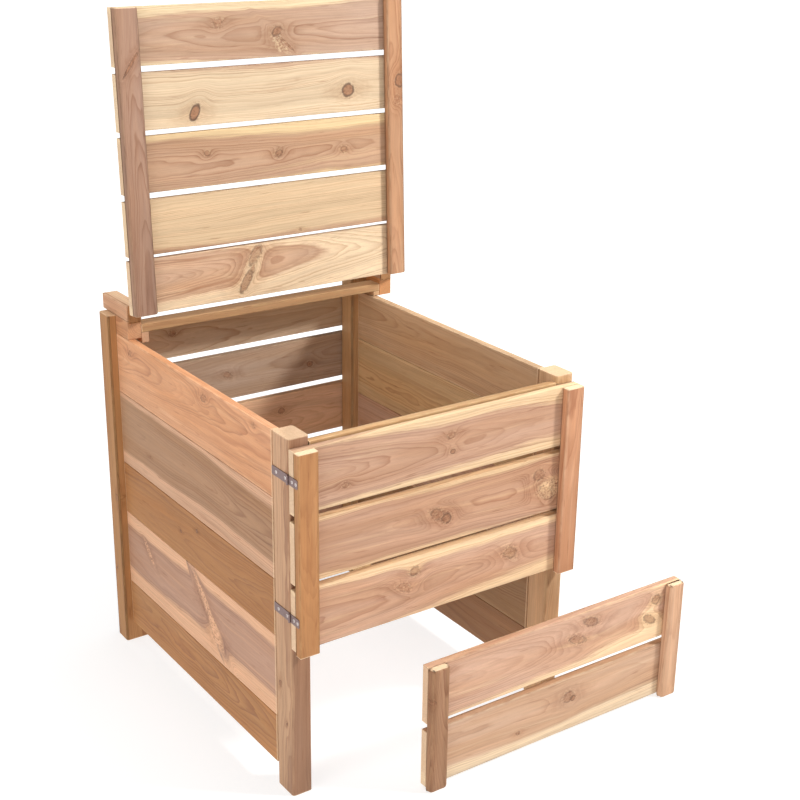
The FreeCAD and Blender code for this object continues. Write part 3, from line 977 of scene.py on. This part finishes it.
# %% Door and lower panel timbers
front_recipes = {
    "door_board_1": (0, 1.6, ("blush", (1, -34), 0.035, 71, 0.22,
        [(-249, -30, 6, 0.15, 0), (16, 22, 8, 0.2, 0), (22, -16, 6, 0.5, 0)])),
    "door_board_2": (0, 1.6, ("blush", (2, -36), -0.03, 76, 0.26,
        [(-16, 2, 14, 0.35, 0.6), (10, -14, 12, 0.55, 0), (268, 26, 13, 0.3, 0),
         (292, -22, 19, 0.2, 0.5, 0.9), (300, -14, 16, -0.3, 0)])),
    "door_board_3": (0, 1.6, ("blush", (-6, -34), 0.04, 72, 0.26,
        [(-72, 36, 11, 0.4, 0), (-100, 4, 12, 0.1, 0.8), (192, 8, 15, 0.25, 0.4)])),
    "door_left_batten": (2, 3.2, ("amber", (10, 60), 0.02, 140, 0.08, [])),
    "door_right_batten": (2, 3.2, ("amber", (-14, 55), 0.02, 130, 0.25, [])),
    "lower_board_1": (0, 1.6, ("blush", (12, -40), 0.05, 84, 0.32,
        [(92, 38, 12, 0.3, 0.8, 1.6), (52, 4, 13, 0.3, 0.9, 1.6), (296, 36, 12, 0.45, 0),
         (280, -12, 14, 0.4, 0.7), (-322, 44, 7, 0.1, 0)])),
    "lower_board_2": (0, 1.6, ("cream", (28, -40), 0.03, 84, 0.32,
        [(34, 18, 14, 0.4, 0), (50, 10, 7, 0.7, 0), (-113, -26, 5, 0.3, 0)])),
    "lower_left_batten": (2, 10.0, ("umber", (16, 38), 0.06, 110, 0.18,
        [(75, -20, 6, 0.3, 0)])),
    "lower_right_batten": (2, 10.0, ("tan", (-10, 40), 0.04, 84, 0.25, [])),
}
# The battens' sawn ends get the full painted end light.
for node, (grain, arris, recipe) in front_recipes.items():
    is_batten = "batten" in node
    make_timber(node, grain, arris, recipe, ease=arris * 0.6 if is_batten else 1.2,
                end_light=1.0 if is_batten else 0.6, outer=IN_FRONT if is_batten else None)
print("door and panel timbers:", len(front_recipes))

# %% [markdown]
# ## Hinge steel
# The door's hinges are small stamped straps of zinc-plated steel; the lid's are butt hinges in
# a browner finish. New plating is not a mirror: it is dull, slightly cloudy, and scratched
# along the way it was rolled. The measured leaves, pins and knuckles keep their shape and only
# get a fine rounding on their edges.

# %% Steel finish and hinges
GRIME = (0.62, 0.56, 0.50, 1)
ROLLED = (2600, 180, 2600)
STEEL_ROUNDING = 0.18 * MM


def steel_finish(name, plate, dull, cloud_scale):
    """Plated steel with cloudy plating and fine scratches."""
    finish, tree = new_finish(name)
    where = add_node(tree, "TexCoord").outputs["Object"]
    cloud = mottled(tree, where, (cloud_scale,) * 3, 4.0, 0.6)
    scratch = mottled(tree, where, ROLLED, 2.0, 0.6)
    grime = soften(tree, mottled(tree, where, (90, 90, 90), 3.0, 0.6), 0.48, 0.72)
    colour = brighten(tree, plate, plus(tree, 1.0, swing(tree, cloud, 0.5)))
    colour = shade(tree, colour, times(tree, grime, 0.4), GRIME)
    rough = plus(tree, dull, plus(tree, swing(tree, cloud, 0.22), swing(tree, scratch, 0.16)))
    relief = add_node(tree, "Bump", None, {"Strength": 0.25, "Distance": 0.0002,
                                           "Height": plus(tree, scratch, cloud)})
    surface = add_node(tree, "BsdfPrincipled", None,
                       {"Base Color": colour, "Metallic": 0.9, "Roughness": rough,
                        "Normal": relief.outputs[0]})
    add_node(tree, "OutputMaterial", None, {0: surface.outputs[0]})
    return finish


strap_steel = steel_finish("strap_steel", tint(144, 124, 122), 0.52, 320)
lid_hinge_steel = steel_finish("lid_hinge_steel", tint(196, 148, 104), 0.55, 260)
screw_zinc = steel_finish("screw_zinc", tint(212, 202, 198), 0.38, 900)
screw_brown = steel_finish("screw_brown", tint(104, 84, 66), 0.50, 700)
hinge_nodes = sorted(n for n in nodes if "hinge" in n and ("leaf" in n or "pin" in n))
for node in hinge_nodes:
    give_finish(node, lid_hinge_steel if node.startswith("lid") else strap_steel)
    soften_edges(node, STEEL_ROUNDING)
print("hinge pieces:", len(hinge_nodes))

# %% [markdown]
# ## Screws
# Countersunk screws hold the boards to the posts and battens and the hinges to the timber.
# One head is a disc, domed by two insets, with a cross recess: the points of the inner ring
# are drawn in by turns so that the ring becomes a cross, and that cross is pushed down. The
# heads of one assembly are joined into a single piece, so a row of screws costs one object.

# %% Screw tools
CROSS = (1.0, 0.70, 0.42, 0.70)
HEAD_SIDES = 16
HEAD_STEPS = ((0.12, 0.14), (0.22, 0.08), (0.02, -0.20))
TURN_BETWEEN, HEAD_SHARP_FROM = 0.9, 35
BOARD_SCREW, STRAP_SCREW, BEAM_SCREW, LEAF_SCREW = 4.2 * MM, 4.0 * MM, 3.6 * MM, 3.0 * MM


def add_head(bm, place, outward, radius, turn):
    """One domed screw head with a cross recess, its rim flush with the timber."""
    made = bmesh.ops.create_circle(bm, cap_ends=True, segments=HEAD_SIDES, radius=radius)
    rim = made["verts"]
    top = next(f for f in bm.faces if rim[0] in f.verts)
    top.normal_update()
    if top.normal.z < 0:
        bmesh.ops.reverse_faces(bm, faces=[top])
    verts = set(rim)
    for inset, lift in HEAD_STEPS:
        if lift < 0:
            for vert in top.verts:
                angle = math.atan2(vert.co.y, vert.co.x)
                step = round(angle * HEAD_SIDES / (2 * math.pi)) % len(CROSS)
                vert.co.x, vert.co.y = vert.co.x * CROSS[step], vert.co.y * CROSS[step]
        bmesh.ops.inset_individual(bm, faces=[top], thickness=radius * inset, depth=radius * lift)
        verts.update(top.verts)
    spin = Matrix.Rotation(turn, 4, "Z")
    aim = outward.to_track_quat("Z", "Y").to_matrix().to_4x4()
    bmesh.ops.transform(bm, matrix=Matrix.Translation(place) @ aim @ spin, verts=list(verts))


def drive_screws(name, body, places, radius, finish=None):
    """Joins the heads at (place, outward) into one piece."""
    bm = bmesh.new()
    for number, (place, outward) in enumerate(places):
        add_head(bm, Vector(place), Vector(outward), radius, number * TURN_BETWEEN)
    mesh = bpy.data.meshes.new(name)
    bm.to_mesh(mesh)
    bm.free()
    show(mesh, name, body, finish or screw_zinc)
    mesh.set_sharp_from_angle(angle=math.radians(HEAD_SHARP_FROM))
    print(name, len(places), "heads")


print("a head has", HEAD_SIDES, "sides and", len(HEAD_STEPS), "steps")

# %% [markdown]
# ## Screws in the boards
# The places follow from the pieces they hold: two screws where a board crosses a post or a
# batten, about a quarter of the board's width in from each edge. The faces were pushed in a
# little when they were planed, so the heads are set just under the measured face.

# %% Screws in boards
SHARE_IN = 0.27
SET_IN, REAR_SET_IN = 0.9 * MM, 1.3 * MM
REAR_SCREWS_X, DOOR_SCREWS_X = (-0.013, 0.690), (-0.001, 0.695)
PANEL_SCREW_IN = 24 * MM


def rows(low, high):
    """The two places of a board's screws across its width."""
    inset = (high - low) * SHARE_IN
    return low + inset, high - inset


def board_screws(name, body, boards, across, face):
    """Screws in upright boards, at every place across, in two rows for each board."""
    places = []
    for board in boards:
        low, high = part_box(board)
        for height in rows(low.z, high.z):
            places += [((x, face, height), (0, 1, 0)) for x in across]
    drive_screws(name, body, places, BOARD_SCREW)


rear_boards = ["rear_board_" + str(number) for number in range(1, 7)]
rear_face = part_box(rear_boards[0])[1].y - REAR_SET_IN
board_screws("rear_board_screws", "bin", rear_boards, REAR_SCREWS_X, rear_face)
door_boards = ["door_board_" + str(number) for number in range(1, 4)]
door_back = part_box(door_boards[0])[1].y - SET_IN
board_screws("door_board_screws", "door", door_boards, DOOR_SCREWS_X, door_back)
panel_boards = ["lower_board_1", "lower_board_2"]
low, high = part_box(panel_boards[0])
board_screws("lower_panel_screws", "lower_panel", panel_boards,
             (low.x + PANEL_SCREW_IN, high.x - PANEL_SCREW_IN), high.y - SET_IN)

# %% [markdown]
# ## Screws in the lid
# The lid's screws are laid out in its shut place, where rows are level, and turned with it.

# %% Screws in the lid
LID_SCREW_LEFT, LID_SCREW_RIGHT = 28 * MM, 23 * MM
lid_places = []
outward = opened.to_3x3() @ Vector((0, 0, 1))
for number in range(1, 6):
    low, high = straight_box("lid_board_" + str(number), opened)
    for y in rows(low.y, high.y):
        for x in (low.x + LID_SCREW_LEFT, high.x - LID_SCREW_RIGHT):
            lid_places.append((opened @ Vector((x, y, high.z - SET_IN)), outward))
drive_screws("lid_board_screws", "lid", lid_places, BOARD_SCREW)

# %% [markdown]
# ## Screws in the hinges and the beams
# Each hinge leaf has two screws. The straps' screws face left, since the leaves lie over the
# edges of the post and the door, and the lid hinges' screws face forward. Three browned screws
# go down through each beam into the block and the rear post under it.

# %% Screws in hinge leaves and beams
STRAP_FACE = -0.02645
LEAF_SET_IN, BEAM_SET_IN = 0.6 * MM, 1.2 * MM
STRAP_SCREWS = (("post", "bin", (0.013, -0.023)), ("door", "door", (-0.049, -0.064)))
for level in ("upper", "lower"):
    low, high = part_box("door_hinge_post_leaf_" + level)
    height = (low.z + high.z) / 2
    for name, body, reach in STRAP_SCREWS:
        drive_screws(name + "_leaf_screws_" + level, body,
                     [((STRAP_FACE, y, height), (-1, 0, 0)) for y in reach], STRAP_SCREW)
LEAF_SCREW_HEIGHT, LEAF_SCREW_IN, BEAM_SCREWS_Y = 0.900, 8 * MM, (0.749, 0.785, 0.826)
for side in ("left", "right"):
    low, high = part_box("lid_hinge_beam_leaf_" + side)
    across = (low.x + LEAF_SCREW_IN, high.x - LEAF_SCREW_IN)
    drive_screws("beam_leaf_screws_" + side, "bin",
                 [((x, low.y + LEAF_SET_IN, LEAF_SCREW_HEIGHT), (0, -1, 0)) for x in across],
                 LEAF_SCREW, screw_brown)
beam_places = []
for side in ("left", "right"):
    low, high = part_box(side + "_hinge_beam")
    for y in BEAM_SCREWS_Y:
        beam_places.append((((low.x + high.x) / 2, y, high.z - BEAM_SET_IN), (0, 0, 1)))
drive_screws("beam_screws", "bin", beam_places, BEAM_SCREW, screw_brown)

# %% [markdown]
# ## Floor
# The reference is a studio shot on white ground that fades into the background. A real studio
# uses a sheet of white paper; here a wide grid does, and it glows a little, more so with its
# distance from the bin, so that only the soft shadow near the feet keeps it from being white.

# %% Floor
FLOOR_SIZE = 60.0
FLOOR_GREY = (0.40, 0.40, 0.40, 1)
GLOW_NEAR, GLOW_RISE, GLOW_FROM, GLOW_TO = 0.70, 0.38, 0.9, 4.5
BIN_MIDDLE = (0.4, 0.3, 0.0)


def floor_finish():
    """Pale studio floor with the faintest unevenness."""
    finish, tree = new_finish("pale_floor")
    where = add_node(tree, "TexCoord").outputs["Object"]
    cloud = mottled(tree, where, (3, 3, 3), 3.0, 0.6)
    colour = brighten(tree, FLOOR_GREY, plus(tree, 1.0, swing(tree, cloud, 0.02)))
    off_centre = reckon_vector(tree, "SUBTRACT", where, BIN_MIDDLE)
    away = add_node(tree, "VectorMath", {"operation": "LENGTH"}, {0: off_centre}).outputs["Value"]
    far = soften(tree, away, GLOW_FROM, GLOW_TO)
    glow = reckon(tree, "MULTIPLY_ADD", far, GLOW_RISE, GLOW_NEAR)
    surface = add_node(tree, "BsdfPrincipled", None,
                       {"Base Color": colour, "Roughness": 0.85, "Emission Color": (1, 1, 1, 1),
                        "Emission Strength": glow})
    add_node(tree, "OutputMaterial", None, {0: surface.outputs[0]})
    return finish


bm = bmesh.new()
bmesh.ops.create_grid(bm, x_segments=8, y_segments=8, size=FLOOR_SIZE)
floor_mesh = bpy.data.meshes.new("studio_floor")
bm.to_mesh(floor_mesh)
bm.free()
floor_mesh.materials.append(floor_finish())
studio_floor = bpy.data.objects.new("studio_floor", floor_mesh)
bpy.context.scene.collection.objects.link(studio_floor)
print("floor laid, metres to its edge:", FLOOR_SIZE)

# %% [markdown]
# ## Light
# The batten's shadow on the door says where the main light hangs: high on the right, a little
# nearer the front than the side. The left wall is almost as bright, so a wide fill light stands
# low on the left, and a third hangs above for the top edges and the inside. The surround is
# white to the camera but gives the bin only a little light, or the shadows would wash out.

# %% Lights and surround
SEEN_WHITE, FELT_WHITE = 1.05, 0.22
aim_point = Vector((0.40, 0.25, 0.75))


def hang_light(name, place, size, power, warmth=(1, 1, 1)):
    """Square soft light turned towards the bin."""
    lamp = bpy.data.lights.new(name, "AREA")
    lamp.shape = "SQUARE"
    lamp.size = size
    lamp.energy = power
    lamp.color = warmth
    holder = bpy.data.objects.new(name, lamp)
    holder.location = place
    holder.rotation_euler = (aim_point - Vector(place)).to_track_quat("-Z", "Y").to_euler()
    bpy.context.scene.collection.objects.link(holder)


hang_light("window_right", (3.9, -2.9, 4.2), 0.8, 300, (1.0, 0.99, 0.975))
hang_light("fill_left", (-4.2, -1.4, 1.9), 3.0, 88, (1.0, 0.995, 0.985))
hang_light("sky_top", (0.4, 0.7, 4.2), 2.6, 105)

world = bpy.data.worlds.new("white_studio")
bpy.context.scene.world = world
world.use_nodes = True
sky = world.node_tree
sky.nodes.clear()
seen = add_node(sky, "Background", None, {"Color": (1, 1, 1, 1), "Strength": SEEN_WHITE})
felt = add_node(sky, "Background", None,
                {"Color": (1.0, 0.99, 0.98, 1), "Strength": FELT_WHITE})
ray = add_node(sky, "LightPath")
choice = add_node(sky, "MixShader", None,
                  {0: ray.outputs["Is Camera Ray"], 1: felt.outputs[0], 2: seen.outputs[0]})
add_node(sky, "OutputWorld", None, {0: choice.outputs[0]})
bpy.context.scene.view_settings.view_transform = "Standard"
print("three lights and a white surround")

# %% [markdown]
# ## Camera
# The camera stands to the left of the front and looks down at a little over twenty degrees.
# Its place and lens were fitted to the lines of the boards in the picture. Three angles give
# the way it looks: the turn from straight ahead, the tilt down, and a slight roll.

# %% Camera
turn, tilt, roll = 0.60860, 0.35668, 0.01371
CAMERA_PLACE = (-1.32758, -2.28731, 1.89154)
SENSOR_WIDTH, LENS = 36.0, 63.99
level = Vector((math.cos(turn), -math.sin(turn), 0))
ahead = Vector((math.sin(turn), math.cos(turn), 0)) * math.cos(tilt)
ahead.z = -math.sin(tilt)
above = level.cross(ahead)
right = level * math.cos(roll) + above * math.sin(roll)
up = above * math.cos(roll) - level * math.sin(roll)
eye = bpy.data.cameras.new("studio_camera")
eye.sensor_width = SENSOR_WIDTH
eye.lens = LENS
eye.clip_end = 100.0
camera = bpy.data.objects.new("studio_camera", eye)
stance = Matrix((right, up, -ahead)).transposed().to_4x4()
camera.matrix_world = Matrix.Translation(CAMERA_PLACE) @ stance
bpy.context.scene.collection.objects.link(camera)
bpy.context.scene.camera = camera
print("camera at", [round(v, 3) for v in camera.location])
